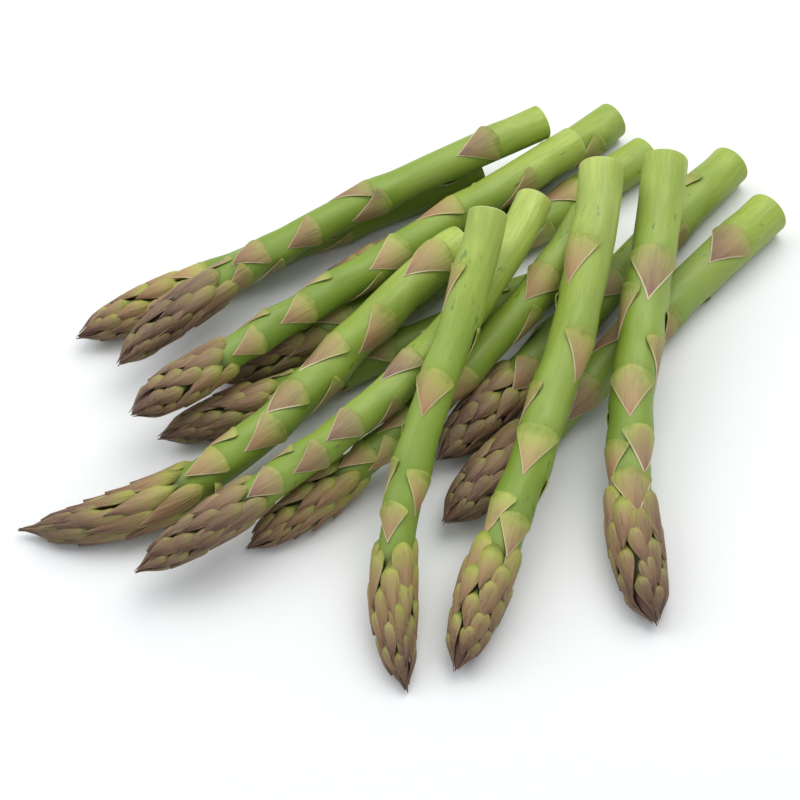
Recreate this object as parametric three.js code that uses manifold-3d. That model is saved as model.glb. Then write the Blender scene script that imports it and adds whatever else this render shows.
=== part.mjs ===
// A loose bundle of fresh green asparagus, lying in a low heap on a level surface.
// Units are millimetres and +Z is up. The origin is at the middle of the heap's footprint, on the surface.
// Every spear grew as one piece, so its stem, its bracts and the scales of its head are one solid.

import * as THREE from 'three';
import { mergeVertices } from 'three/addons/utils/BufferGeometryUtils.js';
import Module from 'manifold-3d';

const wasm = await Module();
wasm.setup();

// Sizes that every spear shares
const STEM_TAPER = 0.22;            // share of its girth that a spear loses from the cut to the tip
const CUT_ROUNDING = 0.5;           // the cut rim is softened by this much
const CORE_DEPTH = 1.7;             // the head's core lies this far under the tips of its scales
const CORE_EASE = 0.08;             // share of the spear over which the core sinks to that depth
const FLAT_DEPTH = 0.25;            // a spear on the surface is flattened by this much underneath
const TOUCH_GAP = 0.35;             // room left between two spears that lie on each other
const BALANCE_SHARE = 0.46;         // a spear balances at this share of its length from the cut
const FULL_TURN = 360;

// Bracts, the triangular leaves that lie flat on the stem
const BRACT_LENGTH = 1.35;          // length as a share of the spear's girth
const BRACT_HALF_TURN = 68;         // degrees of the stem that half a bract covers
const BRACT_RELIEF = 1.0;           // height of the swollen foot over the stem
const BRACT_FALL = 0.3;             // the bract lies this much lower at its tip
const BRACT_SINK = 0.5;             // its edge starts this deep in the stem
const BRACT_CROWN = 0.26;           // share of its length at which it stands highest
const BRACT_MARGIN = 0.15;          // room a resting spear leaves round a bract, in bract lengths
const BRACT_SIDE_MARGIN = 15;       // the same round the stem, in degrees

// Scales, the same leaves crowded over each other on the head
const SCALE_ROWS = 10;              // scales on one head
const SPIRAL_STEP = 144;            // degrees from one scale to the next, two turns for five scales
const SCALE_LENGTH = 0.36;          // length of the lowest scale as a share of the head
const SCALE_HALF_TURN = 54;         // degrees of the head that half a scale covers
const SCALE_WIDENING = 0.35;        // the last scales wrap this much further round
const SCALE_SHORTENING = 0.5;       // and are this much shorter
const SCALE_RELIEF = 1.1;
const SCALE_LIFT = 0.1;             // the tips stand off this much
const SCALE_CROWN = 0.4;            // share of its length at which a scale stands highest
const SCALE_START = 3;              // the lowest scale starts this far under the head
const SCALE_SPAN = 0.88;            // the scales start along this share of the head

// Girth of the head over its scales: share of the way up the head, and times the stem's girth
const HEAD_PROFILE = [
  [0, 1], [0.15, 1.2], [0.35, 1.3], [0.55, 1.24], [0.75, 1], [0.9, 0.66], [1, 0.3],
];
const BLUNT_PROFILE = [
  [0, 1], [0.15, 1.18], [0.35, 1.28], [0.55, 1.28], [0.75, 1.13], [0.9, 0.86], [1, 0.5],
];
const BUD_START = 0.72;             // from here up the core fills the head again, as a closed bud
const BUD_FULL = 0.94;

const LEAF_STEP = 0.2;              // share of a leaf's length over which it steps out of the stem
const LEAF_ROUNDING = 0.5;          // share of its height that a leaf loses at its edge

// Mesh steps
const SIDES = 8;
const STEM_RINGS = 5;
const HEAD_RINGS = [0.35, 0.72, 0.95]; // shares of the way up the head
const BRACT_RINGS = [0.5];          // shares of the way from the crown to the edge
const STATIONS = 41;                // places along a spear at which it is tested against the others
const SMALL_STEP = 0.01;            // share of a spear over which its direction is measured
const SAME_PLACE = 1e-5;

// The spears in the order in which they were laid down. Butt and tip are places on the surface in plan.
// bow is how far the middle stands off the straight line, hook how far the upper third does.
// girth is the diameter at the cut, and head the length of the closed head.
// bracts are places: the distance from the cut, and the angle round the stem with 90 on top.
// A blunt head is fuller near its tip.
const SPEARS = [
  { name: 'spear_back_hidden', butt: [69.5, 117.5], tip: [-28, 43], bow: 2, hook: 2,
    girth: 12.2, head: 36,
    bracts: [[9, 190], [26, 40], [44, 265], [62, 150], [79, 250]] },
  { name: 'spear_back_inner', butt: [79, 102], tip: [-57.5, 11.5], bow: 5, hook: 0,
    girth: 12.6, head: 42,
    bracts: [[12, 300], [27, 80], [43, 200], [60, 320], [77, 90], [92, 230], [106, 250], [115, 90]] },
  { name: 'spear_left_low', butt: [25, 94.9], tip: [-98, 27.5], bow: -1.5, hook: 0,
    girth: 11.6, head: 44,
    bracts: [[10, 60], [30, 75], [46, 220], [59, 0], [72, 145], [85, 290], [94, 75]] },
  { name: 'spear_middle_low', butt: [50.5, 51.5], tip: [-71, -9.5], bow: 2, hook: 0,
    girth: 11.6, head: 42,
    bracts: [[18, 25], [38, 170], [59, 95], [75, 240], [90, 20]] },
  { name: 'spear_right_low', butt: [106, 97.5], tip: [10.5, -18], bow: 0, hook: 0,
    girth: 13.4, head: 42,
    bracts: [[14, 20], [32, 155], [46, 285], [63, 95], [78, 215], [92, 350], [105, 120]] },
  { name: 'spear_right_outer', butt: [116, 77], tip: [12, -40], bow: -0.5, hook: 0,
    girth: 14.0, head: 42,
    bracts: [[16, 95], [34, 285], [53, 170], [66, 45], [78, 290], [90, 140], [102, 20], [110, 240]] },
  { name: 'spear_left_top', butt: [45, 103], tip: [-83.5, 11.5], bow: -4.5, hook: -4,
    girth: 11.2, head: 46,
    bracts: [[17, 115], [32, 290], [57, 175], [60, 55], [75, 290], [82, 135], [96, 215], [100, 95], [108, 155],
      [110, 25]] },
  { name: 'spear_left_blunt', butt: [55, 96], tip: [-77.5, -11], bow: 0, hook: 0,
    girth: 11.6, head: 38, blunt: true,
    bracts: [[19, 180], [33, 300], [46, 60], [69, 125], [80, 215], [94, 25], [105, 125], [117, 30],
      [124, 135]] },
  { name: 'spear_middle_open', butt: [57, 60], tip: [-44, -45.5], bow: 10, hook: -2,
    girth: 11.0, head: 42,
    bracts: [[23, 100], [35, 200], [49, 320], [64, 160], [76, 285], [86, 70], [95, 155], [102, 90]] },
  { name: 'spear_middle_purple', butt: [40.5, 60.5], tip: [-73.5, -58.5], bow: 16.5, hook: -4,
    girth: 11.2, head: 46,
    bracts: [[24, 330], [41, 210], [54, 290], [66, 60], [79, 200], [93, 110], [100, 300], [107, 140],
      [113, 20], [122, 105]] },
  { name: 'spear_front_long', butt: [19.5, 48.5], tip: [-107, -39], bow: 0, hook: 18,
    girth: 12.6, head: 54,
    bracts: [[6, 90], [20, 290], [33, 155], [49, 55], [58, 210], [68, 85], [81, 135], [91, 25], [100, 90]] },
  { name: 'spear_front_left', butt: [25.5, 41], tip: [2, -91], bow: 0, hook: -10,
    girth: 11.6, head: 42,
    bracts: [[16, 5], [31, 230], [48, 80], [62, 290], [73, 0], [76, 145], [86, 60]] },
  { name: 'spear_front_middle', butt: [60.5, 66.5], tip: [15, -86], bow: 8, hook: -4,
    girth: 13.6, head: 42,
    bracts: [[25, 45], [40, 290], [54, 145], [73, 0], [87, 90], [98, 230], [109, 45], [114, 120]] },
  { name: 'spear_front_right', butt: [81, 76], tip: [71, -71], bow: -2, hook: -7,
    girth: 14.0, head: 42, blunt: true,
    bracts: [[32, 100], [44, 5], [48, 240], [60, 170], [72, 80], [82, 290], [90, 130], [95, 35],
      [104, 90]] },
];

const SPEAR_GREEN = 0x8fb63f;
const HEAD_MIX = 0x9a9a62;

function degrees(angle) {
  return angle * Math.PI / 180;
}

// Place of the centre line in plan, at a share of the way from the cut to the tip.
// The two bends are curves that reach 1 at the middle and at two thirds.
function planPoint(spear, share) {
  const butt = new THREE.Vector2(...spear.butt);
  const tip = new THREE.Vector2(...spear.tip);
  const along = tip.clone().sub(butt);
  const side = new THREE.Vector2(-along.y, along.x).normalize();
  const middle = 4 * spear.bow * share * (1 - share);
  const upper = 6.75 * spear.hook * share * share * (1 - share);
  return butt.addScaledVector(along, share).addScaledVector(side, middle + upper);
}

// Radius of a spear over its scales, at a share of its length
function outerRadius(spear, share) {
  const stem = spear.girth / 2 * (1 - STEM_TAPER * share);
  const headStart = 1 - spear.head / spear.length;
  const up = (share - headStart) / (1 - headStart);
  if (up <= 0) {
    return stem;
  }
  const profile = spear.blunt ? BLUNT_PROFILE : HEAD_PROFILE;
  let swell = profile[profile.length - 1][1];
  for (let point = 1; point < profile.length; point += 1) {
    const [upFrom, swellFrom] = profile[point - 1];
    const [upTo, swellTo] = profile[point];
    if (up >= upFrom && up < upTo) {
      swell = THREE.MathUtils.mapLinear(up, upFrom, upTo, swellFrom, swellTo);
    }
  }
  return stem * swell;
}

// Radius of the stem, and of the core inside the head's scales
function coreRadius(spear, share) {
  const outer = outerRadius(spear, share);
  const headStart = 1 - spear.head / spear.length;
  const up = (share - headStart) / (1 - headStart);
  const sunk = THREE.MathUtils.smoothstep(share, headStart, headStart + CORE_EASE);
  const closed = THREE.MathUtils.smoothstep(up, BUD_START, BUD_FULL);
  return Math.max(outer - CORE_DEPTH * sunk * (1 - closed), outer / 2);
}

// How far a bract makes the stem stand out at one place, seen from one direction
function bractStandsOut(spear, share, angle) {
  const distance = share * spear.length;
  const length = BRACT_LENGTH * spear.girth;
  for (const [start, middle] of spear.bracts) {
    const along = (distance - start) / length;
    const turned = THREE.MathUtils.euclideanModulo(angle - middle, FULL_TURN);
    const aside = Math.min(turned, FULL_TURN - turned);
    const inside = along > -BRACT_MARGIN && along < 1 + BRACT_MARGIN;
    if (inside && aside < BRACT_HALF_TURN + BRACT_SIDE_MARGIN) {
      return BRACT_RELIEF;
    }
  }
  return 0;
}

// Heights at which a spear may not lie lower, from the surface and the spears already laid
function supportHeights(spear, laid) {
  const heights = [];
  for (let station = 0; station < STATIONS; station += 1) {
    const share = station / (STATIONS - 1);
    const here = planPoint(spear, share);
    const ahead = planPoint(spear, share + SMALL_STEP);
    const heading = Math.atan2(ahead.y - here.y, ahead.x - here.x);
    let height = outerRadius(spear, share) - FLAT_DEPTH;
    for (const other of laid) {
      for (let step = 0; step < STATIONS; step += 1) {
        const otherShare = step / (STATIONS - 1);
        const there = planPoint(other, otherShare);
        const apart = here.distanceTo(there);
        const bare = outerRadius(spear, share) + outerRadius(other, otherShare) + TOUCH_GAP;
        if (apart > bare + 2 * BRACT_RELIEF) {
          continue;
        }
        const rise = Math.sqrt(Math.max(0, bare * bare - apart * apart));
        const bearing = Math.atan2(there.y - here.y, there.x - here.x);
        const toRight = Math.sin(heading - bearing) * apart;
        const below = THREE.MathUtils.radToDeg(Math.atan2(-rise, toRight));
        const otherAhead = planPoint(other, otherShare + SMALL_STEP);
        const otherHeading = Math.atan2(otherAhead.y - there.y, otherAhead.x - there.x);
        const otherRight = Math.sin(otherHeading - bearing - Math.PI) * apart;
        const above = THREE.MathUtils.radToDeg(Math.atan2(rise, otherRight));
        const relief = bractStandsOut(spear, share, below) + bractStandsOut(other, otherShare, above);
        const reach = bare + relief;
        if (apart < reach) {
          const lift = Math.sqrt(reach * reach - apart * apart);
          height = Math.max(height, centreHeight(other, otherShare) + lift);
        }
      }
    }
    heights.push(height);
  }
  return heights;
}

function centreHeight(spear, share) {
  return spear.buttHeight + (spear.tipHeight - spear.buttHeight) * share;
}

// A spear comes to rest on one support on each side of its balance point
function layDown(spear, laid) {
  const chord = new THREE.Vector2(...spear.tip).distanceTo(new THREE.Vector2(...spear.butt));
  const bend = Math.abs(spear.bow) + Math.abs(spear.hook);
  spear.length = chord + 8 * bend * bend / (3 * chord);
  const heights = supportHeights(spear, laid);
  let best = -Infinity;
  for (let low = 0; low < STATIONS; low += 1) {
    const lowShare = low / (STATIONS - 1);
    for (let high = low + 1; high < STATIONS; high += 1) {
      const highShare = high / (STATIONS - 1);
      if (lowShare > BALANCE_SHARE || highShare <= BALANCE_SHARE) {
        continue;
      }
      const slope = (heights[high] - heights[low]) / (highShare - lowShare);
      const atBalance = heights[low] + slope * (BALANCE_SHARE - lowShare);
      if (atBalance > best) {
        best = atBalance;
        spear.buttHeight = heights[low] - slope * lowShare;
        spear.tipHeight = heights[low] + slope * (1 - lowShare);
      }
    }
  }
}

// A point of a spear: share of the length, angle round it (90 is on top) and distance from the centre line
function pointOnSpear(spear, share, angle, radius) {
  const here = planPoint(spear, share);
  const before = planPoint(spear, share - SMALL_STEP / 2);
  const after = planPoint(spear, share + SMALL_STEP / 2);
  const rise = (spear.tipHeight - spear.buttHeight) * SMALL_STEP;
  const along = new THREE.Vector3(after.x - before.x, after.y - before.y, rise).normalize();
  const right = new THREE.Vector3(along.y, -along.x, 0).normalize();
  const up = right.clone().cross(along);
  const centre = new THREE.Vector3(here.x, here.y, centreHeight(spear, share));
  centre.addScaledVector(right, radius * Math.cos(degrees(angle)));
  return centre.addScaledVector(up, radius * Math.sin(degrees(angle)));
}

function toSolid(geometry) {
  geometry.deleteAttribute('normal');
  geometry.deleteAttribute('uv');
  const merged = mergeVertices(geometry, SAME_PLACE);
  const mesh = new wasm.Mesh({
    numProp: 3,
    vertProperties: merged.attributes.position.array,
    triVerts: new Uint32Array(merged.index.array),
  });
  return new wasm.Manifold(mesh);
}

function toGeometry(solid) {
  const mesh = solid.getMesh();
  const geometry = new THREE.BufferGeometry();
  geometry.setAttribute('position', new THREE.BufferAttribute(new Float32Array(mesh.vertProperties), 3));
  geometry.setIndex(new THREE.BufferAttribute(new Uint32Array(mesh.triVerts), 1));
  geometry.computeVertexNormals();
  return geometry;
}

// The stem and the core of the head: a turned profile, carried onto the spear's centre line
function stemSolid(spear) {
  const profile = [new THREE.Vector2(0, 0)];
  const cut = CUT_ROUNDING / spear.length;
  profile.push(new THREE.Vector2(coreRadius(spear, 0) - CUT_ROUNDING, 0));
  profile.push(new THREE.Vector2(coreRadius(spear, cut), cut));
  const headStart = 1 - spear.head / spear.length;
  for (let ring = 1; ring <= STEM_RINGS; ring += 1) {
    const share = headStart * ring / STEM_RINGS;
    profile.push(new THREE.Vector2(coreRadius(spear, share), share));
  }
  for (const ring of HEAD_RINGS) {
    const share = headStart + (1 - headStart) * ring;
    profile.push(new THREE.Vector2(coreRadius(spear, share), share));
  }
  profile.push(new THREE.Vector2(0, 1));
  const geometry = new THREE.LatheGeometry(profile, SIDES, degrees(180 / SIDES));
  const position = geometry.attributes.position;
  for (let index = 0; index < position.count; index += 1) {
    const radius = Math.hypot(position.getX(index), position.getZ(index));
    const angle = THREE.MathUtils.radToDeg(Math.atan2(position.getZ(index), position.getX(index)));
    const place = pointOnSpear(spear, position.getY(index), angle, radius);
    position.setXYZ(index, place.x, place.y, place.z);
  }
  return toSolid(geometry);
}

// Outlines from the tip round to the tip again: across in half widths, along in lengths
const BRACT_OUTLINE = [[0, 1], [0.62, 0.6], [1, 0.26], [0, 0], [-1, 0.26], [-0.62, 0.6]];
const SCALE_OUTLINE = [[0, 1], [0.8, 0.55], [0.7, 0.02], [-0.7, 0.02], [-0.8, 0.55]];

// One leaf: a low dome on the leaf outline, closed by a point deep in the stem
function leafSolid(spear, leaf) {
  const profile = [new THREE.Vector2(0, 0), new THREE.Vector2(1, 1)];
  for (const ring of leaf.rings) {
    profile.push(new THREE.Vector2(ring, 1));
  }
  profile.push(new THREE.Vector2(0, 1));
  const sides = leaf.outline.length;
  const geometry = new THREE.LatheGeometry(profile, sides);
  const position = geometry.attributes.position;
  for (let index = 0; index < position.count; index += 1) {
    const ring = Math.hypot(position.getX(index), position.getZ(index));
    const turned = Math.atan2(position.getX(index), position.getZ(index)) / (2 * Math.PI);
    const corner = leaf.outline[(Math.round(turned * sides) + sides) % sides];
    const across = corner[0] * ring;
    const along = THREE.MathUtils.lerp(leaf.middle, corner[1], ring);
    const share = (leaf.distance + along * leaf.length) / spear.length;
    const foot = THREE.MathUtils.smoothstep(along, -LEAF_STEP / 4, LEAF_STEP);
    const crown = leaf.relief * (1 - LEAF_ROUNDING * ring * ring) + leaf.lift * along;
    let radius = outerRadius(spear, Math.min(share, 1)) - leaf.sink * (1 - foot) + crown * foot;
    if (position.getY(index) < 0.5) {
      radius = 0;
    }
    const place = pointOnSpear(spear, share, leaf.angle + across * leaf.halfTurn, radius);
    position.setXYZ(index, place.x, place.y, place.z);
  }
  return toSolid(geometry);
}

function bractSolids(spear) {
  return spear.bracts.map(([distance, angle]) => leafSolid(spear, {
    distance,
    angle,
    length: BRACT_LENGTH * spear.girth,
    halfTurn: BRACT_HALF_TURN,
    outline: BRACT_OUTLINE,
    middle: BRACT_CROWN,
    rings: BRACT_RINGS,
    relief: BRACT_RELIEF,
    lift: -BRACT_FALL,
    sink: BRACT_SINK,
  }));
}

// The head's scales go on with the bracts' spiral, closer and shorter towards the tip
function scaleSolids(spear) {
  const headStart = spear.length - spear.head;
  const lastAngle = spear.bracts[spear.bracts.length - 1][1];
  const solids = [];
  for (let scale = 0; scale < SCALE_ROWS; scale += 1) {
    const up = scale / SCALE_ROWS;
    solids.push(leafSolid(spear, {
      distance: headStart + spear.head * up * SCALE_SPAN - SCALE_START,
      angle: lastAngle + SPIRAL_STEP * (scale + 1),
      length: spear.head * SCALE_LENGTH * (1 - SCALE_SHORTENING * up),
      halfTurn: SCALE_HALF_TURN * (1 + SCALE_WIDENING * up),
      outline: SCALE_OUTLINE,
      middle: SCALE_CROWN,
      rings: [],
      relief: SCALE_RELIEF * (1 - up),
      lift: SCALE_LIFT,
      sink: CORE_DEPTH,
    }));
  }
  return solids;
}

// Everything under the surface is pressed flat, so the low spears rest on real faces
function pressedFlat(solid) {
  const slab = new THREE.BoxGeometry(1000, 1000, 100);
  slab.translate(0, 0, -50);
  return solid.subtract(toSolid(slab));
}

// The outer shell alone, without scraps or hollows sealed between the scales
function outerShell(solid) {
  const shells = solid.decompose();
  return shells.reduce((largest, shell) => (shell.volume() > largest.volume() ? shell : largest));
}

function spearMesh(spear) {
  let solid = stemSolid(spear);
  for (const leaf of [...bractSolids(spear), ...scaleSolids(spear)]) {
    solid = solid.add(leaf);
  }
  const material = new THREE.MeshStandardMaterial({ color: SPEAR_GREEN, roughness: 0.5, metalness: 0 });
  material.color.lerp(new THREE.Color(HEAD_MIX), spear.head / spear.length);
  const mesh = new THREE.Mesh(toGeometry(outerShell(pressedFlat(solid))), material);
  mesh.name = spear.name;
  return mesh;
}

const bundle = new THREE.Group();
const laid = [];
for (const spear of SPEARS) {
  layDown(spear, laid);
  laid.push(spear);
  bundle.add(spearMesh(spear));
}

// The origin goes to the middle of the footprint
const footprint = new THREE.Box3().setFromObject(bundle);
const middle = footprint.getCenter(new THREE.Vector3());
bundle.position.set(-middle.x, -middle.y, 0);
bundle.updateMatrixWorld(true);

export default bundle;
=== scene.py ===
# %% [markdown]
# # A loose bundle of asparagus
# Fourteen green asparagus spears lie in a low heap. On the real thing every spear is one shoot: a round,
# slightly tapering stem with a cut end, flat triangular leaves called bracts that hug the stem, and a
# head where the same leaves crowd over each other like roof tiles. The solid model that this lesson
# dresses already has each spear in its place, so the work here is to grow a finer spear over each of
# them and to give it a living skin.

# %% Load the frame
import bpy
import math
import numpy as np
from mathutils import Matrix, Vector


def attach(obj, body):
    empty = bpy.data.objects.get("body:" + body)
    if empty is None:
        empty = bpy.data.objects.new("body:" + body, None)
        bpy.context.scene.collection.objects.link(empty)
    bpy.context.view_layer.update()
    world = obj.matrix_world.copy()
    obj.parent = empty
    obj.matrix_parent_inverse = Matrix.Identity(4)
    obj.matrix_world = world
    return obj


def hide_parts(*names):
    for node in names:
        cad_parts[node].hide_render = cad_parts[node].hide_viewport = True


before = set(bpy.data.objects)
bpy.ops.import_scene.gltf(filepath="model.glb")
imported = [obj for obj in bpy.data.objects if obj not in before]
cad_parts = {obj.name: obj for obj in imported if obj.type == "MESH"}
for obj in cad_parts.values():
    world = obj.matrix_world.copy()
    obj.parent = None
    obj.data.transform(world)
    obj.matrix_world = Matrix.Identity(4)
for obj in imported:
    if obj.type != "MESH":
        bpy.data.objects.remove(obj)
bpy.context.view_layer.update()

# %% [markdown]
# ## The heap's layout
# Each spear is described by a few numbers, the same ones that the solid model was made from. Butt and
# tip are places on the table in millimetres, bow and hook bend the line between them, girth is the
# thickness at the cut. It would be possible to trace every spear by eye, but then a fine spear could
# drift away from its solid one.

# %% Values of the layout
MM = 0.001
SPEARS = [
    dict(name="spear_back_hidden", butt=(69.5, 117.5), tip=(-28, 43), bow=2, hook=2,
         girth=12.2, head=36, dusk=0.3, pale=0.1,
         bracts=[(9, 190), (26, 40), (44, 265), (62, 150), (79, 250)]),
    dict(name="spear_back_inner", butt=(79, 102), tip=(-57.5, 11.5), bow=5, hook=0,
         girth=12.6, head=42, dusk=0.25, pale=0.1,
         bracts=[(12, 300), (27, 80), (43, 200), (60, 320), (77, 90),
                 (92, 230), (106, 250), (115, 90)]),
    dict(name="spear_left_low", butt=(25, 94.9), tip=(-98, 27.5), bow=-1.5, hook=0,
         girth=11.6, head=44, dusk=0.1, pale=0.2,
         bracts=[(10, 60), (30, 75), (46, 220), (59, 0), (72, 145), (85, 290), (94, 75)]),
    dict(name="spear_middle_low", butt=(50.5, 51.5), tip=(-71, -9.5), bow=2, hook=0,
         girth=11.6, head=42, dusk=0.45, pale=0.2,
         bracts=[(18, 25), (38, 170), (59, 95), (75, 240), (90, 20)]),
    dict(name="spear_right_low", butt=(106, 97.5), tip=(10.5, -18), bow=0, hook=0,
         girth=13.4, head=42, dusk=0.55, pale=0.2,
         bracts=[(14, 20), (32, 155), (46, 285), (63, 95), (78, 215), (92, 350), (105, 120)]),
    dict(name="spear_right_outer", butt=(116, 77), tip=(12, -40), bow=-0.5, hook=0,
         girth=14.0, head=42, dusk=0.65, pale=0.25,
         bracts=[(16, 95), (34, 285), (53, 170), (66, 45), (78, 290),
                 (90, 140), (102, 20), (110, 240)]),
    dict(name="spear_left_top", butt=(45, 103), tip=(-83.5, 11.5), bow=-4.5, hook=-4,
         girth=11.2, head=46, dusk=0.75, pale=0.25,
         bracts=[(17, 115), (32, 290), (57, 175), (60, 55), (75, 290), (82, 135), (96, 215),
                 (100, 95), (108, 155), (110, 25)]),
    dict(name="spear_left_blunt", butt=(55, 96), tip=(-77.5, -11), bow=0, hook=0,
         girth=11.6, head=38, blunt=True, dusk=0.4, pale=0.35,
         bracts=[(19, 180), (33, 300), (46, 60), (69, 125), (80, 215), (94, 25),
                 (105, 125), (117, 30), (124, 135)]),
    dict(name="spear_middle_open", butt=(57, 60), tip=(-44, -45.5), bow=10, hook=-2,
         girth=11.0, head=42, dusk=0.2, pale=0.3, open=0.9,
         bracts=[(23, 100), (35, 200), (49, 320), (64, 160), (76, 285),
                 (86, 70), (95, 155), (102, 90)]),
    dict(name="spear_middle_purple", butt=(40.5, 60.5), tip=(-73.5, -58.5), bow=16.5, hook=-4,
         girth=11.2, head=46, dusk=0.8, pale=1.0,
         bracts=[(24, 330), (41, 210), (54, 290), (66, 60), (79, 200), (93, 110), (100, 300),
                 (107, 140), (113, 20), (122, 105)]),
    dict(name="spear_front_long", butt=(19.5, 48.5), tip=(-107, -39), bow=0, hook=18,
         girth=12.6, head=54, dusk=0.35, pale=0.5, open=0.35, wisps=0.5, curled=[(104, 175)],
         bracts=[(6, 90), (20, 290), (33, 155), (49, 55), (58, 210), (68, 85),
                 (81, 135), (91, 25), (100, 90)]),
    dict(name="spear_front_left", butt=(25.5, 41), tip=(2, -91), bow=0, hook=-10,
         girth=11.6, head=42, dusk=0.15, pale=0.5,
         bracts=[(16, 5), (31, 230), (48, 80), (62, 290), (73, 0), (76, 145), (86, 60)]),
    dict(name="spear_front_middle", butt=(60.5, 66.5), tip=(15, -86), bow=8, hook=-4,
         girth=13.6, head=42, dusk=0.15, pale=0.75,
         bracts=[(25, 45), (40, 290), (54, 145), (73, 0), (87, 90), (98, 230), (109, 45), (114, 120)]),
    dict(name="spear_front_right", butt=(81, 76), tip=(71, -71), bow=-2, hook=-7,
         girth=14.0, head=42, blunt=True, dusk=0.4, pale=0.35,
         bracts=[(32, 100), (44, 5), (48, 240), (60, 170), (72, 80), (82, 290),
                 (90, 130), (95, 35), (104, 90)]),
]
STEM_TAPER = 0.22
CORE_DEPTH = 1.7
CORE_EASE = 0.08
BUD_START = 0.72
BUD_FULL = 0.94
FLAT_DEPTH = 0.25
TOUCH_GAP = 0.35
BALANCE_SHARE = 0.46
BRACT_LENGTH = 1.35
BRACT_HALF_TURN = 68
BRACT_RELIEF = 1.0
BRACT_MARGIN = 0.15
BRACT_SIDE_MARGIN = 15
HEAD_PROFILE = [(0, 1), (0.15, 1.2), (0.35, 1.3), (0.55, 1.24), (0.75, 1), (0.9, 0.66), (1, 0.3)]
BLUNT_PROFILE = [(0, 1), (0.15, 1.18), (0.35, 1.28), (0.55, 1.28), (0.75, 1.13), (0.9, 0.86), (1, 0.5)]
STATIONS = 41
SMALL_STEP = 0.01
BOW_FACTOR = 4
HOOK_FACTOR = 6.75
print(len(SPEARS), "spears in the layout")

# %% [markdown]
# ## The centre line
# A spear's centre line is a straight line in plan with two soft bends added, and it rises evenly from
# the cut to the tip. Blender's Curve modifier could bend a straight spear too, but a small function
# gives the same line as the solid model to the last digit, and it also tells which way is up at every
# point.


# %% Functions of the centre line
def plan_points(spear, share):
    """Places of the centre line in plan, for an array of shares of the length."""
    share = np.asarray(share, float)
    butt = np.array(spear["butt"], float)
    along = np.array(spear["tip"], float) - butt
    side = np.array([-along[1], along[0]]) / np.hypot(*along)
    # the two factors make each bend's highest point as far out as bow and hook say
    middle = BOW_FACTOR * spear["bow"] * share * (1 - share)
    upper = HOOK_FACTOR * spear["hook"] * share * share * (1 - share)
    return butt + share[..., None] * along + (middle + upper)[..., None] * side


def head_share(spear, share):
    """How far up the head a place is: under 0 on the stem, 1 at the tip."""
    head_start = 1 - spear["head"] / spear["length"]
    return (np.asarray(share, float) - head_start) / (1 - head_start)


def outer_radius(spear, share):
    """Radius over the scales."""
    profile = BLUNT_PROFILE if spear.get("blunt") else HEAD_PROFILE
    swell = np.interp(head_share(spear, share), *zip(*profile))
    return spear["girth"] / 2 * (1 - STEM_TAPER * np.asarray(share, float)) * swell


def smooth(value, low, high):
    """A soft step from 0 at low to 1 at high."""
    t = np.clip((np.asarray(value, float) - low) / (high - low), 0, 1)
    return t * t * (3 - 2 * t)


def core_radius(spear, share):
    """Radius of the stem, and of the core under the scales."""
    outer = outer_radius(spear, share)
    head_start = 1 - spear["head"] / spear["length"]
    sunk = smooth(share, head_start, head_start + CORE_EASE)
    closed = smooth(head_share(spear, share), BUD_START, BUD_FULL)
    return np.maximum(outer - CORE_DEPTH * sunk * (1 - closed), outer / 2)


for spear in SPEARS:
    chord = math.dist(spear["butt"], spear["tip"])
    bend = abs(spear["bow"]) + abs(spear["hook"])
    # a shallow arc is longer than its chord by 8 times its depth squared over 3 chords
    spear["length"] = chord + 8 * bend * bend / (3 * chord)
lengths = [spear["length"] for spear in SPEARS]
print("spears from", round(min(lengths)), "to", round(max(lengths)), "mm long")

# %% [markdown]
# ## Laying the spears down
# The spears were laid one after another, and each one rests on the table or on the spears below it. The
# rule is the one of the solid model: find every height under which the new spear would cut into
# something, then let it rest on one support on each side of its balance point. A physics simulation
# could do it, but this gives one exact answer.


# %% Let every spear find its rest
def centre_height(spear, share):
    """Height of the centre line, which rises evenly."""
    return spear["low"] + (spear["high"] - spear["low"]) * share


def bract_stands_out(spear, share, angle):
    """How far a bract stands out of the stem at an angle round it, or 0 where there is none."""
    distance = share * spear["length"]
    for start, middle in spear["bracts"]:
        along = (distance - start) / (BRACT_LENGTH * spear["girth"])
        turned = (angle - middle) % 360
        aside = min(turned, 360 - turned)
        if -BRACT_MARGIN < along < 1 + BRACT_MARGIN and aside < BRACT_HALF_TURN + BRACT_SIDE_MARGIN:
            return BRACT_RELIEF
    return 0


def heading(spear, share):
    """The way a spear points in plan."""
    step = plan_points(spear, share + SMALL_STEP) - plan_points(spear, share)
    return math.atan2(step[1], step[0])


def support_height(spear, share, laid):
    """The lowest height at which one place of a spear clears the table and the spears laid so far."""
    here = plan_points(spear, share)
    own = float(outer_radius(spear, share))
    height = own - FLAT_DEPTH
    for other in laid:
        for step, there in enumerate(other["stations"]):
            other_share = step / (STATIONS - 1)
            apart = math.dist(here, there)
            bare = own + other["radii"][step] + TOUCH_GAP
            if apart > bare + 2 * BRACT_RELIEF:
                continue
            rise = math.sqrt(max(0, bare * bare - apart * apart))
            bearing = math.atan2(there[1] - here[1], there[0] - here[0])
            to_right = math.sin(heading(spear, share) - bearing) * apart
            below = math.degrees(math.atan2(-rise, to_right))
            other_right = math.sin(heading(other, other_share) - bearing - math.pi) * apart
            above = math.degrees(math.atan2(rise, other_right))
            relief = bract_stands_out(spear, share, below) + bract_stands_out(other, other_share, above)
            reach = bare + relief
            if apart < reach:
                climb = math.sqrt(reach * reach - apart * apart)
                height = max(height, centre_height(other, other_share) + climb)
    return height


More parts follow.
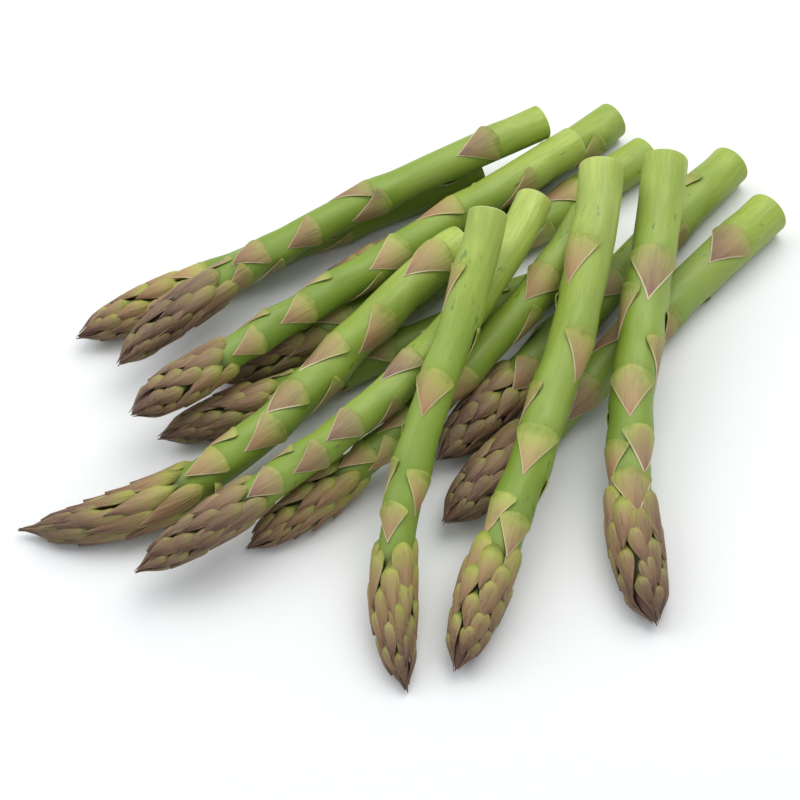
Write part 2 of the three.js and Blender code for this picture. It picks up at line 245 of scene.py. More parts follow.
def lay_down(spear, laid):
    """Finds the highest of the lines over two supports, one on each side of the balance point."""
    shares = np.linspace(0, 1, STATIONS)
    spear["stations"] = plan_points(spear, shares)
    spear["radii"] = outer_radius(spear, shares)
    heights = [support_height(spear, share, laid) for share in shares]
    best = -math.inf
    for low in range(STATIONS):
        for high in range(low + 1, STATIONS):
            if shares[low] > BALANCE_SHARE or shares[high] <= BALANCE_SHARE:
                continue
            slope = (heights[high] - heights[low]) / (shares[high] - shares[low])
            at_balance = heights[low] + slope * (BALANCE_SHARE - shares[low])
            if at_balance > best:
                best = at_balance
                spear["low"] = heights[low] - slope * shares[low]
                spear["high"] = heights[low] + slope * (1 - shares[low])


for count, spear in enumerate(SPEARS):
    lay_down(spear, SPEARS[:count])
    cut_height, tip_height = round(spear["low"], 1), round(spear["high"], 1)
    print(spear["name"], "lies", cut_height, "mm up at the cut and", tip_height, "at the tip")


# %% [markdown]
# ## From a straight spear to its place
# Every spear is modelled upright and straight, in millimetres, which is how it grows and how it is
# easiest to shape. One function then carries its points onto the centre line. The frame's origin is the
# middle of the heap, so the shift of the whole layout is measured once, at the cut face of one solid
# spear.


# %% Carry straight points onto the centre line
def carried(spear, points):
    """Points of the straight spear (x to its right, y up, z along it) in their place in the heap."""
    share = points[:, 2] / spear["length"]
    here = plan_points(spear, share)
    ahead = plan_points(spear, share + SMALL_STEP / 2) - plan_points(spear, share - SMALL_STEP / 2)
    rise = (spear["high"] - spear["low"]) * SMALL_STEP
    along = np.column_stack([ahead, np.full(len(points), rise)])
    along /= np.linalg.norm(along, axis=1)[:, None]
    right = np.column_stack([along[:, 1], -along[:, 0], np.zeros(len(points))])
    right /= np.linalg.norm(right, axis=1)[:, None]
    up = np.cross(right, along)
    centre = np.column_stack([here, centre_height(spear, share)])
    return centre + right * points[:, :1] + up * points[:, 1:2]


def layout_shift(spear):
    """How far the frame has moved the layout, from the centre of one solid cut face."""
    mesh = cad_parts[spear["name"]].data
    places = np.empty(len(mesh.vertices) * 3)
    mesh.vertices.foreach_get("co", places)
    places = places.reshape(-1, 3) / MM
    ends = carried(spear, np.array([[0, 0, 0], [0, 0, 1.0]]))
    along = ends[1] - ends[0]
    depth = places @ along
    rim = np.unique(places[depth < depth.min() + 0.1].round(3), axis=0)
    return (rim.min(axis=0) + rim.max(axis=0))[:2] / 2 - ends[0][:2]


SHIFT = layout_shift(SPEARS[-1])
print("the frame moved the layout by", SHIFT.round(2), "mm")

# %% [markdown]
# ## The camera
# The heap is seen from about 54 degrees above through a long lens, which keeps near and far spears
# almost the same size. An orthographic camera would be simpler, but then the near heads would look too
# small. The camera comes first, because everything else is judged through it.

# %% Camera
CAMERA_ELEVATION = math.radians(54)
CAMERA_DISTANCE = 640 * MM
CAMERA_LENS = 98.5
AIM_HEIGHT = 12

aim = Vector((SHIFT[0] * MM, SHIFT[1] * MM, AIM_HEIGHT * MM))
bpy.ops.object.camera_add()
camera = bpy.context.active_object
camera.name = "camera"
camera.data.lens = CAMERA_LENS
camera.data.clip_start = 0.01
towards_viewer = Vector((0, -math.cos(CAMERA_ELEVATION), math.sin(CAMERA_ELEVATION)))
camera.location = aim + CAMERA_DISTANCE * towards_viewer
camera.rotation_euler = (math.pi / 2 - CAMERA_ELEVATION, 0, 0)
bpy.context.scene.camera = camera
print("camera at", tuple(round(v, 3) for v in camera.location))

# %% [markdown]
# ## The table and the light
# The table is plain and pale, so the eye stays on the spears. A sun lamp would be the shortest way to
# light it, but its shadows are hard. A large key light from behind and a fill from the left give the
# soft shadows of a white room, and the world gives the light that comes back from its walls.

# %% Table and light
bpy.ops.mesh.primitive_plane_add(size=6, location=(0, 0, 0))
table = bpy.context.active_object
table.name = "table"
table_paint = bpy.data.materials.new("white table")
table_paint.use_nodes = True
shader = table_paint.node_tree.nodes["Principled BSDF"]
shader.inputs["Base Color"].default_value = (0.74, 0.75, 0.76, 1)
shader.inputs["Roughness"].default_value = 0.7
table.data.materials.append(table_paint)

world = bpy.data.worlds.new("studio")
bpy.context.scene.world = world
world.use_nodes = True
world.node_tree.nodes["Background"].inputs["Color"].default_value = (0.96, 0.98, 1, 1)
world.node_tree.nodes["Background"].inputs["Strength"].default_value = 0.68
bpy.context.scene.view_settings.view_transform = "Standard"


def soft_light(name, place, size, power, colour):
    """A square light that is turned towards the heap."""
    bpy.ops.object.light_add(type="AREA", location=place)
    light = bpy.context.active_object
    light.name = name
    light.data.size = size
    light.data.energy = power
    light.data.color = colour
    light.rotation_euler = (aim - Vector(place)).to_track_quat("-Z", "Y").to_euler()


soft_light("key", (0.25, 0.45, 1.0), 1.0, 9.5, (1, 0.985, 0.95))
soft_light("left fill", (-0.8, 0.35, 0.9), 0.8, 5.5, (0.97, 0.985, 1))

# %% [markdown]
# ## The stem
# A stem is a long round shoot. It could be a curve with a bevel, but the skin has to swell under each
# bract, so it is a cylinder with many rings. Its long edges are cut by Subdivide, which works like a row
# of loop cuts, and the lower rim gets a small bevel, because a cut stem rounds a little as it dries. One
# straight stem is made and copied.

# %% One straight stem
STEM_LENGTH = 160
STEM_RADIUS = 6
STEM_SIDES = 56
STEM_CUTS = 158
RIM_BEVEL = 0.45
FACE_INSETS = (0.5, 1.2, 1.4, 1.2)


def select_where(mesh, kind, test):
    """Selects the faces, edges or vertices that pass a test. It is called in edit mode and stays in it."""
    bpy.ops.mesh.select_all(action="DESELECT")
    bpy.ops.object.mode_set(mode="OBJECT")
    for item in getattr(mesh, kind):
        item.select = bool(test(item))
    bpy.ops.object.mode_set(mode="EDIT")


def climb_of(edge):
    """How far an edge of the stem runs along it."""
    first, second = (stem.data.vertices[corner].co.z for corner in edge.vertices)
    return abs(first - second)


bpy.ops.object.select_all(action="DESELECT")
bpy.ops.mesh.primitive_cylinder_add(vertices=STEM_SIDES, radius=STEM_RADIUS, depth=STEM_LENGTH,
                                    location=(0, 0, STEM_LENGTH / 2))
stem = bpy.context.active_object
stem.name = "straight stem"
bpy.ops.object.transform_apply(location=True, rotation=True, scale=True)
bpy.ops.object.mode_set(mode="EDIT")
bpy.ops.mesh.select_mode(type="EDGE")
select_where(stem.data, "edges", lambda edge: climb_of(edge) > 1)
bpy.ops.mesh.subdivide(number_cuts=STEM_CUTS)
bpy.ops.mesh.select_mode(type="FACE")
select_where(stem.data, "polygons", lambda face: face.normal.z < -0.9)
bpy.ops.mesh.bevel(offset=RIM_BEVEL, segments=3, affect="EDGES")
select_where(stem.data, "polygons", lambda face: face.normal.z < -0.99 and len(face.vertices) > 4)
for inset in FACE_INSETS:
    bpy.ops.mesh.inset(thickness=inset)
bpy.ops.mesh.poke()
bpy.ops.object.mode_set(mode="OBJECT")
print("a straight stem of", len(stem.data.polygons), "faces")

# %% [markdown]
# ## The leaves
# A bract and a scale are the same leaf: a thin sheet with a broad foot and a pointed tip. Each is
# modelled flat, from a grid whose rows are drawn in to the leaf's outline, and gets its thickness from
# Solidify while it is flat, so the thickness stays even. Attributes remember where a point lies on the
# leaf, for shaping and for colour later.

# %% Flat bract and flat scale
BRACT_OUTLINE = [(0, 0.93), (0.07, 1), (0.16, 0.97), (0.3, 0.8), (0.5, 0.55), (0.7, 0.32),
                 (0.88, 0.12), (1, 0.01)]
SCALE_OUTLINE = [(0, 0.5), (0.1, 0.82), (0.24, 1), (0.4, 0.96), (0.58, 0.72), (0.78, 0.4),
                 (0.92, 0.15), (1, 0.03)]
BRACT_THICKNESS = 0.34
SCALE_THICKNESS = 0.4


def add_attribute(mesh, name, kind, values):
    """Writes a value on every point of a mesh."""
    layer = mesh.attributes.get(name) or mesh.attributes.new(name, kind, "POINT")
    layer.data.foreach_set("vector" if kind == "FLOAT_VECTOR" else "value", np.ravel(values))


def flat_leaf(name, outline, columns, rows, thickness):
    """A leaf on the XY plane: x across from -1 to 1, y along from 0 to 1, z its thickness in mm."""
    bpy.ops.object.select_all(action="DESELECT")
    bpy.ops.mesh.primitive_grid_add(x_subdivisions=columns, y_subdivisions=rows, size=1,
                                    location=(0, 0.5, 0))
    leaf = bpy.context.active_object
    leaf.name = name
    leaf.scale = (2, 1, 1)
    bpy.ops.object.transform_apply(location=True, rotation=True, scale=True)
    places = np.array([point.co for point in leaf.data.vertices])
    widths = np.interp(places[:, 1], *zip(*outline))
    add_attribute(leaf.data, "across", "FLOAT", places[:, 0])
    add_attribute(leaf.data, "along", "FLOAT", places[:, 1])
    add_attribute(leaf.data, "margin", "FLOAT", (1 - np.abs(places[:, 0])) * widths)
    bpy.ops.object.mode_set(mode="EDIT")
    bpy.ops.mesh.select_mode(type="VERT")
    for row in sorted(set(places[:, 1].round(5))):
        select_where(leaf.data, "vertices", lambda point: abs(point.co.y - row) < 1e-4)
        width = float(np.interp(row, *zip(*outline)))
        bpy.ops.transform.resize(value=(width, 1, 1), center_override=(0, row, 0))
    bpy.ops.object.mode_set(mode="OBJECT")
    wall = leaf.modifiers.new("wall", "SOLIDIFY")
    wall.thickness = thickness
    wall.offset = -1
    bpy.ops.object.modifier_apply(modifier=wall.name)
    return leaf


bract_leaf = flat_leaf("flat bract", BRACT_OUTLINE, 14, 18, BRACT_THICKNESS)
scale_leaf = flat_leaf("flat scale", SCALE_OUTLINE, 8, 9, SCALE_THICKNESS)
print("bract of", len(bract_leaf.data.polygons), "faces, scale of", len(scale_leaf.data.polygons))

# %% [markdown]
# ## What the stem does under a leaf
# A stem swells a little below each bract, and the last millimetres of a head draw in to a point. Both
# could be sculpted, but the leaves have to follow the same shape as the skin below them, so it is worked
# out by two small functions that the stem and the leaves share.

# %% Reading a mesh, the swelling and the closing tip
SHOULDER_SWELL = 0.85
SHOULDER_LENGTH = 9
SHOULDER_TOP = 1
SHOULDER_END = 6
SHOULDER_SIDES = (45, 100)
TIP_CLOSING = 0.75
TIP_REACH = 8


def read_attribute(mesh, name):
    """The values of a number that is kept on every point."""
    values = np.empty(len(mesh.vertices))
    mesh.attributes[name].data.foreach_get("value", values)
    return values


def mesh_points(mesh):
    """All points of a mesh as rows of x, y and z."""
    places = np.empty(len(mesh.vertices) * 3)
    mesh.vertices.foreach_get("co", places)
    return places.reshape(-1, 3)


def tip_closing(spear, distance):
    """What is left of the radius as the head draws in to a point: 1 on the stem, least at the tip."""
    return 1 - TIP_CLOSING * smooth(distance, spear["length"] - TIP_REACH, spear["length"] + 1)


def swelling(spear, distance, angle, own=None):
    """How far the stem swells towards the bracts, apart from one leaf's own."""
    swell = np.zeros(len(distance))
    for start, middle in spear["bracts"]:
        aside = np.abs((angle - middle + 180) % 360 - 180)
        rising = smooth(distance, start - SHOULDER_LENGTH, start + SHOULDER_TOP)
        falling = 1 - smooth(distance, start + SHOULDER_TOP, start + SHOULDER_END)
        if start != own:
            swell += SHOULDER_SWELL * rising * falling * (1 - smooth(aside, *SHOULDER_SIDES))
    return swell


print("a stem swells by", SHOULDER_SWELL, "mm under a bract")

# %% [markdown]
# ## Wrapping a leaf round the stem
# A flat leaf is bent round the straight stem by reading its width as an angle and its length as a
# distance. Its relief comes in at the same time: the foot steps out of the stem as a shoulder, the crown
# falls towards the tip, and a small nub stands in the middle of the foot, where the real bract has a bud.
# A Simple Deform and a Shrinkwrap modifier could bend it, but the leaves of the head each need a
# different lift.

# %% Wrap one leaf
NUB_HALF_WIDTH = 0.14
NUB_HEIGHT = 0.6
LEAST_RADIUS = 0.15


def wrapped_leaf(flat, spear, leaf):
    """A copy of the flat leaf round the straight spear. Its lengths are in mm and its angles in degrees."""
    piece = flat.copy()
    piece.data = flat.data.copy()
    bpy.context.scene.collection.objects.link(piece)
    mesh = piece.data
    places = mesh_points(mesh)
    across = read_attribute(mesh, "across")
    along = read_attribute(mesh, "along")
    distance = leaf["distance"] + (along + leaf["arch"] * (1 - along) * across ** 2) * leaf["length"]
    furthest = spear["length"] + 0.3 - 0.8 * leaf["tint"] + 3 * spear.get("wisps", 0)
    distance = np.minimum(distance, furthest)
    angle = np.radians(leaf["angle"] + places[:, 0] * leaf["half_turn"] + leaf["skew"] * along)
    foot = smooth(along, 0, leaf["shoulder"])
    crown = leaf["relief"] * (1 - leaf["fall"] * along)
    past_foot = smooth(along, leaf["square"], leaf["square"] + 0.3)
    sides = leaf["rounding"] * across ** 2 * (1 - 0.7 * along) * past_foot
    nub = np.exp(-(across / NUB_HALF_WIDTH) ** 2) * smooth(along, -0.02, 0.04)
    nub *= (1 - smooth(along, 0.05, 0.18)) * leaf["nub"]
    add_attribute(mesh, "nub", "FLOAT", nub)
    height = (crown + leaf["lift"] * along ** 3) * foot - leaf["sink"] * (1 - foot)
    height += NUB_HEIGHT * nub - sides + places[:, 2]
    radius = outer_radius(spear, distance / spear["length"]) + height
    radius += swelling(spear, distance, np.degrees(angle), leaf["distance"])
    radius *= tip_closing(spear, distance)
    radius = np.maximum(radius, LEAST_RADIUS)
    mesh.vertices.foreach_set("co", np.column_stack(
        [radius * np.cos(angle), radius * np.sin(angle), distance]).ravel())
    add_attribute(mesh, "tint", "FLOAT", np.full(len(places), leaf["tint"]))
    return piece


# %% [markdown]
# ## Bracts and scales
# Bracts sit alone on the stem at the places that the layout gives. Scales crowd round the head in a
# spiral, each turned on by the golden angle from the one before, as leaves do on most plants. An Array
# modifier could repeat them, but its copies would be all alike, and real ones differ in size, turn and
# lift.

# %% The bracts of a spear
BRACT_SHRINK = 0.2


def bract_leaves(spear, chance):
    """The bracts of one spear, each a little different."""
    leaves = []
    bare = spear["length"] - spear["head"]
    for distance, angle in spear["bracts"]:
        size = 1 - BRACT_SHRINK * float(smooth(distance, 0.5 * bare, bare)) + chance.uniform(-0.06, 0.04)
        leaves.append(wrapped_leaf(bract_leaf, spear, dict(
            distance=distance, angle=angle, length=BRACT_LENGTH * spear["girth"] * size,
            half_turn=BRACT_HALF_TURN * size, arch=chance.uniform(0.05, 0.16),
            skew=chance.uniform(-10, 10), shoulder=0.08, relief=1.25, fall=0.85, rounding=0.3,
            square=0.15, lift=0, sink=0.3, nub=chance.choice([0.3, 0.6, 1]), tint=chance.uniform(0, 1))))
    for distance, angle in spear.get("curled", []):
        leaves.append(wrapped_leaf(bract_leaf, spear, dict(
            distance=distance, angle=angle, length=8, half_turn=24, arch=0.3, skew=30, shoulder=0.3,
            relief=1.2, fall=0, rounding=-1.2, square=0.2, lift=3, sink=1, nub=0, tint=1)))
    return leaves


print("a bract wraps", 2 * BRACT_HALF_TURN, "degrees of its stem")

# %% The scales of a head
HEAD_SCALES = 30
GOLDEN_STEP = 137.5
SCALE_HALF_WIDTH = 0.33
SCALES_FROM = -3
SCALES_REACH = 0.86


def scale_leaves(spear, chance):
    """The scales of the head, smaller and closer towards the tip."""
    leaves = []
    start = spear["length"] - spear["head"]
    turn = spear["bracts"][-1][1]
    openness = spear.get("open", 0)
    wisps = spear.get("wisps", 0)
    for count in range(HEAD_SCALES):
        up = (count / HEAD_SCALES) ** 0.85
        turn += GOLDEN_STEP
        distance = start + SCALES_FROM + up * spear["head"] * SCALES_REACH
        half_width = SCALE_HALF_WIDTH * spear["girth"] * (1 - 0.45 * up) * chance.uniform(0.88, 1.1)
        radius = float(outer_radius(spear, (distance + 4) / spear["length"]))
        angle = turn + chance.uniform(-9, 9)
        length = spear["head"] * (0.44 - 0.18 * up) * chance.uniform(0.9, 1.12) * (1 + wisps * up)
        skew = chance.uniform(-12, 12)
        relief = (1.45 + chance.uniform(-0.25, 0.25)) * (1 - 0.45 * up)
        lift = (0.3 + 1.6 * openness) * (1 - up) + 0.8 * wisps + chance.uniform(0, 0.3)
        leaves.append(wrapped_leaf(scale_leaf, spear, dict(
            distance=distance, angle=angle, length=length, arch=0.12, skew=skew, shoulder=0.28,
            half_turn=min(math.degrees(half_width / radius), 80), relief=relief, fall=0.6,
            rounding=1.9 * (1 - 0.5 * up), square=0, lift=lift, sink=CORE_DEPTH, nub=0,
            tint=chance.uniform(0, 1))))
    return leaves


print(HEAD_SCALES, "scales on each head")


# %% [markdown]
# ## The skin
# Fresh asparagus skin is waxy and never one colour: the stem is yellow-green with fine streaks that run
# along it, a bract goes from green at its foot over tan to a reddish tip with a thin pale edge, and the
# head darkens to brown and purple. The streaks are used by several finishes, so they are a node group.
# They read the straight spear's coordinates, which are kept on every point, so they follow each stem
# however it bends.

# %% Helpers for nodes
def noise(nodes, links, vector, scale, detail):
    """Soft noise between 0 and 1 over a place."""
    node = nodes.new("ShaderNodeTexNoise")
    node.inputs["Scale"].default_value = scale
    node.inputs["Detail"].default_value = detail
    links.new(vector, node.inputs["Vector"])
    return node.outputs["Fac"]


def ramp(nodes, links, value, stops):
    """A colour ramp over a value, from (place, colour) pairs."""
    node = nodes.new("ShaderNodeValToRGB")
    stop = node.color_ramp.elements
    while len(stop) < len(stops):
        stop.new(0.5)
    for element, (place, colour) in zip(stop, stops):
        element.position = place
        element.color = (*colour, 1)
    links.new(value, node.inputs["Fac"])
    return node.outputs["Color"]


def attribute(nodes, name, output="Fac"):
    """A value that the mesh keeps on its points."""
    node = nodes.new("ShaderNodeAttribute")
    node.attribute_name = name
    return node.outputs[output]


def mapped(nodes, links, vector, scale):
    """A place with its axes stretched."""
    node = nodes.new("ShaderNodeMapping")
    node.inputs["Scale"].default_value = scale
    links.new(vector, node.inputs["Vector"])
    return node.outputs["Vector"]


def mix(nodes, links, factor, first, second, blend="MIX"):
    """A colour mix. Each side is a socket or a colour."""
    node = nodes.new("ShaderNodeMix")
    node.data_type = "RGBA"
    node.blend_type = blend
    colours = [socket for socket in node.inputs if socket.type == "RGBA"]
    for socket, value in zip([node.inputs[0], *colours], (factor, first, second)):
        if isinstance(value, tuple):
            socket.default_value = (*value, 1)
        elif isinstance(value, (int, float)):
            socket.default_value = value
        else:
            links.new(value, socket)
    return [socket for socket in node.outputs if socket.type == "RGBA"][0]


def maths(nodes, links, operation, first, second):
    """A sum or product. Each side is a socket or a number."""
    node = nodes.new("ShaderNodeMath")
    node.operation = operation
    for socket, value in zip(node.inputs, (first, second)):
        if isinstance(value, (int, float)):
            socket.default_value = value
        else:
            links.new(value, socket)
    return node.outputs[0]


def step_mask(nodes, links, value, low, high):
    """0 at low, 1 at high, soft between."""
    node = nodes.new("ShaderNodeMapRange")
    node.interpolation_type = "SMOOTHSTEP"
    node.inputs["From Min"].default_value = low
    node.inputs["From Max"].default_value = high
    links.new(value, node.inputs["Value"])
    return node.outputs["Result"]


def scaled(nodes, links, value, factor):
    """A value times a number or another value."""
    return maths(nodes, links, "MULTIPLY", value, factor)


# %% Streaks shared by all finishes
streaks = bpy.data.node_groups.new("spear streaks", "ShaderNodeTree")
for label in ("Streak", "Blotch", "Fleck", "Bloom", "Height"):
    streaks.interface.new_socket(name=label, in_out="OUTPUT", socket_type="NodeSocketFloat")
nodes, links = streaks.nodes, streaks.links
end = nodes.new("NodeGroupOutput")
straight = attribute(nodes, "straight", "Vector")
fine = noise(nodes, links, mapped(nodes, links, straight, (1, 1, 0.05)), 2600, 4)
broad = noise(nodes, links, mapped(nodes, links, straight, (1, 1, 0.12)), 650, 3)
blotch = noise(nodes, links, mapped(nodes, links, straight, (1, 1, 0.5)), 120, 3)
bloom = noise(nodes, links, mapped(nodes, links, straight, (1, 1, 0.35)), 60, 4)
speck = noise(nodes, links, mapped(nodes, links, straight, (1, 1, 0.3)), 800, 2)
speck_place = noise(nodes, links, straight, 80, 2)
streak = maths(nodes, links, "ADD", scaled(nodes, links, fine, 0.5), scaled(nodes, links, broad, 0.5))
fleck = maths(nodes, links, "MULTIPLY", step_mask(nodes, links, speck, 0.62, 0.7),
              step_mask(nodes, links, speck_place, 0.53, 0.64))
links.new(step_mask(nodes, links, streak, 0.36, 0.64), end.inputs["Streak"])
links.new(step_mask(nodes, links, blotch, 0.35, 0.68), end.inputs["Blotch"])
links.new(fleck, end.inputs["Fleck"])
links.new(step_mask(nodes, links, bloom, 0.46, 0.68), end.inputs["Bloom"])
links.new(streak, end.inputs["Height"])
print("streak group of", len(nodes), "nodes")


# %% [markdown]
# ## The stem's skin
# A stem is yellow-green at the cut and greener further up, with a dusty bloom and a few dark flecks. Under
# the scales its core is painted near-black, dark brown towards the tip: painted shade for the gaps between
# the scales. It could be painted by hand on an unwrapped mesh, but a pattern made by nodes stays sharp
# however near the eye comes. Its main colour runs with the share of the length, and a pale stem has a ramp
# of its own.

# %% Stem skin
STEM_PALE = (0.52, 0.6, 0.15)
STEM_BRIGHT = (0.29, 0.39, 0.045)
STEM_GREEN = (0.19, 0.285, 0.028)
STEM_DEEP = (0.11, 0.19, 0.02)
BLOOM_GREEN = (0.27, 0.35, 0.11)
FLECK_GREEN = (0.06, 0.13, 0.02)
# painted shade: the near-black and dark brown that the core shows in the gaps between the scales
CORE_SHADE_DARK = (0.05, 0.055, 0.015)
CORE_SHADE_BROWN = (0.1, 0.05, 0.035)


def new_finish(name, roughness, bump, distance):
    """A material with the streak group in it and a bump that follows the streaks."""
    material = bpy.data.materials.new(name)
    material.use_nodes = True
    nodes, links = material.node_tree.nodes, material.node_tree.links
    shader = nodes["Principled BSDF"]
    shader.inputs["Specular IOR Level"].default_value = 0.4
    group = nodes.new("ShaderNodeGroup")
    group.node_tree = streaks
    dent = nodes.new("ShaderNodeBump")
    dent.inputs["Strength"].default_value = bump
    dent.inputs["Distance"].default_value = distance
    links.new(group.outputs["Height"], dent.inputs["Height"])
    links.new(dent.outputs["Normal"], shader.inputs["Normal"])
    gloss = maths(nodes, links, "ADD", roughness, scaled(nodes, links, group.outputs["Streak"], 0.12))
    links.new(gloss, shader.inputs["Roughness"])
    return material, nodes, links, shader, group


stem_skin, nodes, links, shader, group = new_finish("stem skin", 0.4, 0.35, 0.0004)
length_share = attribute(nodes, "length_share")
pale = attribute(nodes, "pale")
grown = ramp(nodes, links, length_share, [(0.0, STEM_BRIGHT), (0.2, STEM_GREEN), (0.75, STEM_DEEP)])
young = ramp(nodes, links, length_share,
             [(0.0, STEM_PALE), (0.25, STEM_BRIGHT), (0.6, STEM_GREEN), (0.95, STEM_DEEP)])
base = mix(nodes, links, pale, grown, young)
lined = mix(nodes, links, scaled(nodes, links, group.outputs["Streak"], 0.35), base, STEM_DEEP)
streaked = mix(nodes, links, scaled(nodes, links, group.outputs["Height"], 0.35), lined, STEM_BRIGHT)
blotched = mix(nodes, links, scaled(nodes, links, group.outputs["Blotch"], 0.3), streaked, STEM_DEEP)
bloomed = mix(nodes, links, scaled(nodes, links, group.outputs["Bloom"], 0.32), blotched, BLOOM_GREEN)
flecked = mix(nodes, links, scaled(nodes, links, group.outputs["Fleck"], 0.65), bloomed, FLECK_GREEN)
head_up = attribute(nodes, "head_up")
# painted shade: from a little way up the head the core under the scales is painted near-black, dark brown
# towards the tip
hidden = step_mask(nodes, links, head_up, 0.12, 0.24)
core = mix(nodes, links, step_mask(nodes, links, head_up, 0.5, 0.8), CORE_SHADE_DARK, CORE_SHADE_BROWN)
shaded = mix(nodes, links, hidden, flecked, core)
links.new(shaded, shader.inputs["Base Color"])
print("stem skin of", len(nodes), "nodes")

# %% [markdown]
# ## The skins of the leaves
# A bract goes from green at its foot over tan to a reddish tip, with veins and a thin pale edge. A scale
# does the same on a shorter stretch, wrinkles more, and darkens towards the tip of the head. Two
# materials could be built apart, but their effects lie over each other in the same order, so one
# function makes both from their own colours.

# %% Leaf skins
CREAM = (0.72, 0.66, 0.42)
WRINKLE_BROWN = (0.5, 0.4, 0.38)
TINT_BROWN = (0.78, 0.66, 0.55)
BUD_RED = (0.3, 0.12, 0.05)


def leaf_finish(name, fresh_stops, dusky_stops, vein, edge_width, edge_strength, wrinkles):
    """A leaf's colours run from foot to tip, fresh or dusky, with veins, wrinkles and a papery edge."""
    material, nodes, links, shader, group = new_finish(name, 0.5, wrinkles + 0.3, 0.0009)
    along = attribute(nodes, "along")
    ripeness = maths(nodes, links, "ADD", 0.72, scaled(nodes, links, attribute(nodes, "dusk"), 0.55))
    ripened = maths(nodes, links, "MULTIPLY", along, ripeness)
    wander = maths(nodes, links, "ADD", ripened, scaled(nodes, links, group.outputs["Blotch"], -0.16))
    mottled = maths(nodes, links, "SUBTRACT", scaled(nodes, links, group.outputs["Bloom"], 0.5), 0.12)
    dusk = maths(nodes, links, "ADD", attribute(nodes, "dusk"), mottled)
    fresh = ramp(nodes, links, wander, fresh_stops)
    dusky = ramp(nodes, links, wander, dusky_stops)
    aged = mix(nodes, links, dusk, fresh, dusky)
    veined = mix(nodes, links, scaled(nodes, links, group.outputs["Streak"], 0.25), aged, vein)
    wrinkle = step_mask(nodes, links, group.outputs["Height"], 0.5, 0.36)
    wrinkled = mix(nodes, links, scaled(nodes, links, wrinkle, wrinkles), veined, WRINKLE_BROWN, "MULTIPLY")
    tint = scaled(nodes, links, attribute(nodes, "tint"), 0.5)
    tinted = mix(nodes, links, tint, wrinkled, TINT_BROWN, "MULTIPLY")
    dot = scaled(nodes, links, step_mask(nodes, links, attribute(nodes, "nub"), 0.55, 0.9), 0.6)
    budded = mix(nodes, links, dot, tinted, BUD_RED)
    inner = step_mask(nodes, links, attribute(nodes, "margin"), edge_width / 2, edge_width)
    edge = maths(nodes, links, "SUBTRACT", 1.0, inner)
    worn = scaled(nodes, links, edge, group.outputs["Bloom"])
    rim = maths(nodes, links, "MAXIMUM", worn, scaled(nodes, links, edge, 0.45))
    free = scaled(nodes, links, rim, step_mask(nodes, links, along, 0.2, 0.35))
    papery = mix(nodes, links, scaled(nodes, links, free, edge_strength), budded, CREAM)
    links.new(papery, shader.inputs["Base Color"])
    return material


bract_skin = leaf_finish(
    "bract skin",
    [(0.0, (0.23, 0.33, 0.04)), (0.08, (0.37, 0.43, 0.09)), (0.24, (0.4, 0.36, 0.12)),
     (0.5, (0.38, 0.25, 0.115)), (0.82, (0.3, 0.16, 0.085)), (1.0, (0.22, 0.09, 0.055))],
    [(0.0, (0.18, 0.24, 0.045)), (0.1, (0.24, 0.23, 0.08)), (0.3, (0.21, 0.16, 0.085)),
     (0.7, (0.17, 0.1, 0.075)), (1.0, (0.12, 0.055, 0.045))],
    vein=(0.45, 0.35, 0.15), edge_width=0.06, edge_strength=0.75, wrinkles=0.16)
scale_skin = leaf_finish(
    "scale skin",
    [(0.0, (0.15, 0.22, 0.02)), (0.12, (0.36, 0.42, 0.06)), (0.24, (0.37, 0.34, 0.09)),
     (0.42, (0.34, 0.23, 0.1)), (0.75, (0.25, 0.12, 0.07)), (1.0, (0.11, 0.045, 0.03))],
    [(0.0, (0.1, 0.12, 0.025)), (0.15, (0.2, 0.19, 0.06)), (0.35, (0.17, 0.12, 0.07)),
     (0.7, (0.12, 0.065, 0.05)), (1.0, (0.07, 0.03, 0.025))],
    vein=(0.36, 0.27, 0.11), edge_width=0.14, edge_strength=0.12, wrinkles=0.4)
print("leaf skins:", bract_skin.name, "and", scale_skin.name)

# %% [markdown]
# ## The cut face
# Across the cut, a stem shows the ends of its fibres in pale pith. A picture of them would need an
# unwrapped face, while Voronoi cells on the straight spear's coordinates look like cut fibres at once,
# and are the same size on a thick stem and on a thin one.

# %% Cut face
FIBRE_GREEN = (0.4, 0.48, 0.14)
PITH_PALE = (0.66, 0.7, 0.36)

cut_face, nodes, links, shader, group = new_finish("cut face", 0.55, 0.5, 0.0006)
straight = attribute(nodes, "straight", "Vector")
fibre = nodes.new("ShaderNodeTexVoronoi")
fibre.inputs["Scale"].default_value = 1300
links.new(straight, fibre.inputs["Vector"])
pith = ramp(nodes, links, fibre.outputs["Distance"], [(0.1, FIBRE_GREEN), (0.5, PITH_PALE)])
links.new(pith, shader.inputs["Base Color"])

for piece, finish in ((bract_leaf, bract_skin), (scale_leaf, scale_skin)):
    piece.data.materials.append(finish)
stem.data.materials.append(stem_skin)
stem.data.materials.append(cut_face)
for face in stem.data.polygons:
    face.material_index = 1 if face.normal.z < -0.7 else 0
print("cut face on", sum(face.material_index for face in stem.data.polygons), "faces")

# %% [markdown]
# ## Growing the spears
# Now one spear is put together at a time. A copy of the stem takes the spear's girth, swells under each
# bract and thins into the core of the head. The leaves are wrapped round it, everything is joined into
# one mesh, and its points are carried to their place in the heap. A Boolean union could join the leaves
# to the stem, but they only lie on it in the real thing, so their feet simply sink in. What would go
# below the table is pressed flat.

# %% Grow every spear
RIM_LENGTH = 2
SWELL_FROM = 1
UNDER_SCALES = 0.7
LEAST_CORE = 0.3


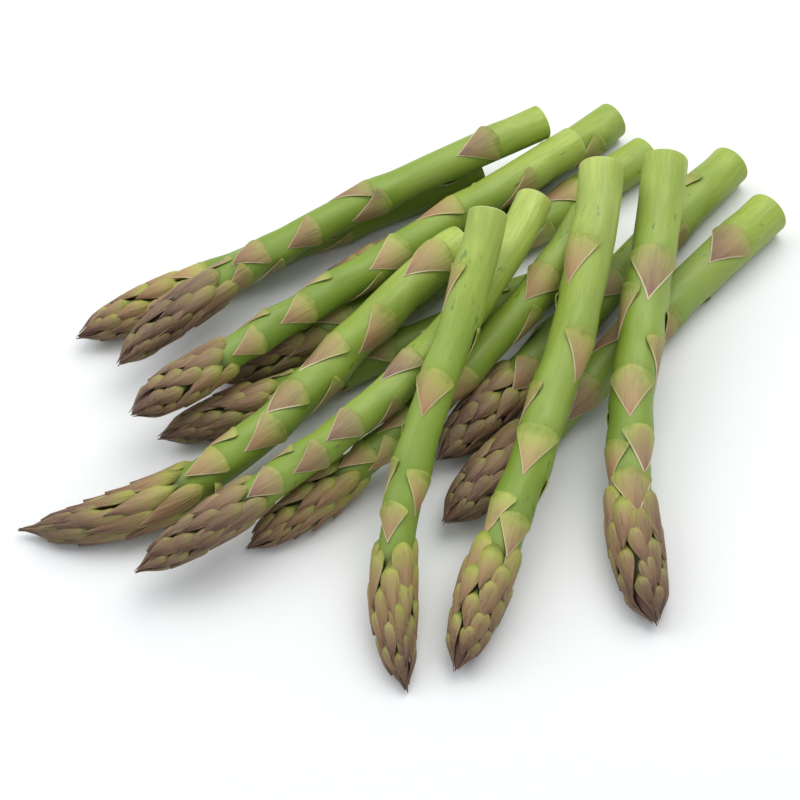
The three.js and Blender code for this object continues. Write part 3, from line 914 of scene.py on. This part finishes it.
def grown_stem(spear):
    """A copy of the straight stem with one spear's length, girth and swellings."""
    piece = stem.copy()
    piece.data = stem.data.copy()
    piece.name = spear["name"] + "_fine"
    bpy.context.scene.collection.objects.link(piece)
    places = mesh_points(piece.data)
    longer = (spear["length"] - RIM_LENGTH) / (STEM_LENGTH - RIM_LENGTH)
    stretched = RIM_LENGTH + (places[:, 2] - RIM_LENGTH) * longer
    distance = np.where(places[:, 2] < RIM_LENGTH, places[:, 2], stretched)
    angle = np.arctan2(places[:, 1], places[:, 0])
    share = distance / spear["length"]
    radius = np.hypot(places[:, 0], places[:, 1]) / STEM_RADIUS * core_radius(spear, share)
    radius += swelling(spear, distance, np.degrees(angle)) * (distance > SWELL_FROM)
    sunk = UNDER_SCALES * smooth(head_share(spear, share), BUD_START, BUD_FULL)
    radius = np.maximum(radius - sunk, LEAST_CORE) * tip_closing(spear, distance)
    distance = np.minimum(distance, spear["length"] - 1)
    piece.data.vertices.foreach_set("co", np.column_stack(
        [radius * np.cos(angle), radius * np.sin(angle), distance]).ravel())
    return piece


def fine_spear(spear, chance):
    """One finished spear in its place, in metres."""
    piece = grown_stem(spear)
    leaves = bract_leaves(spear, chance) + scale_leaves(spear, chance)
    bpy.ops.object.select_all(action="DESELECT")
    for part in [piece, *leaves]:
        part.select_set(True)
    bpy.context.view_layer.objects.active = piece
    bpy.ops.object.join()
    places = mesh_points(piece.data)
    share = places[:, 2] / spear["length"]
    up = head_share(spear, share)
    add_attribute(piece.data, "straight", "FLOAT_VECTOR", places * MM + chance.uniform(-1, 1, 3))
    add_attribute(piece.data, "length_share", "FLOAT", share)
    add_attribute(piece.data, "head_up", "FLOAT", up)
    darker = 1.1 * np.clip(up, 0, 1) ** 2.5
    add_attribute(piece.data, "dusk", "FLOAT", np.clip(spear["dusk"] * 0.9 + darker, 0, 1))
    add_attribute(piece.data, "pale", "FLOAT", np.full(len(places), spear["pale"]))
    home = carried(spear, places)
    home[:, :2] += SHIFT
    home[:, 2] = np.maximum(home[:, 2], 0)
    piece.data.vertices.foreach_set("co", (home * MM).ravel())
    piece.data.update()
    bpy.ops.object.shade_smooth_by_angle(angle=math.radians(50))
    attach(piece, "root")
    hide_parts(spear["name"])
    return piece


chance = np.random.RandomState(14)
for spear in SPEARS:
    piece = fine_spear(spear, chance)
    print(piece.name, "has", len(piece.data.polygons), "faces")
for model in (stem, bract_leaf, scale_leaf):
    bpy.data.objects.remove(model)
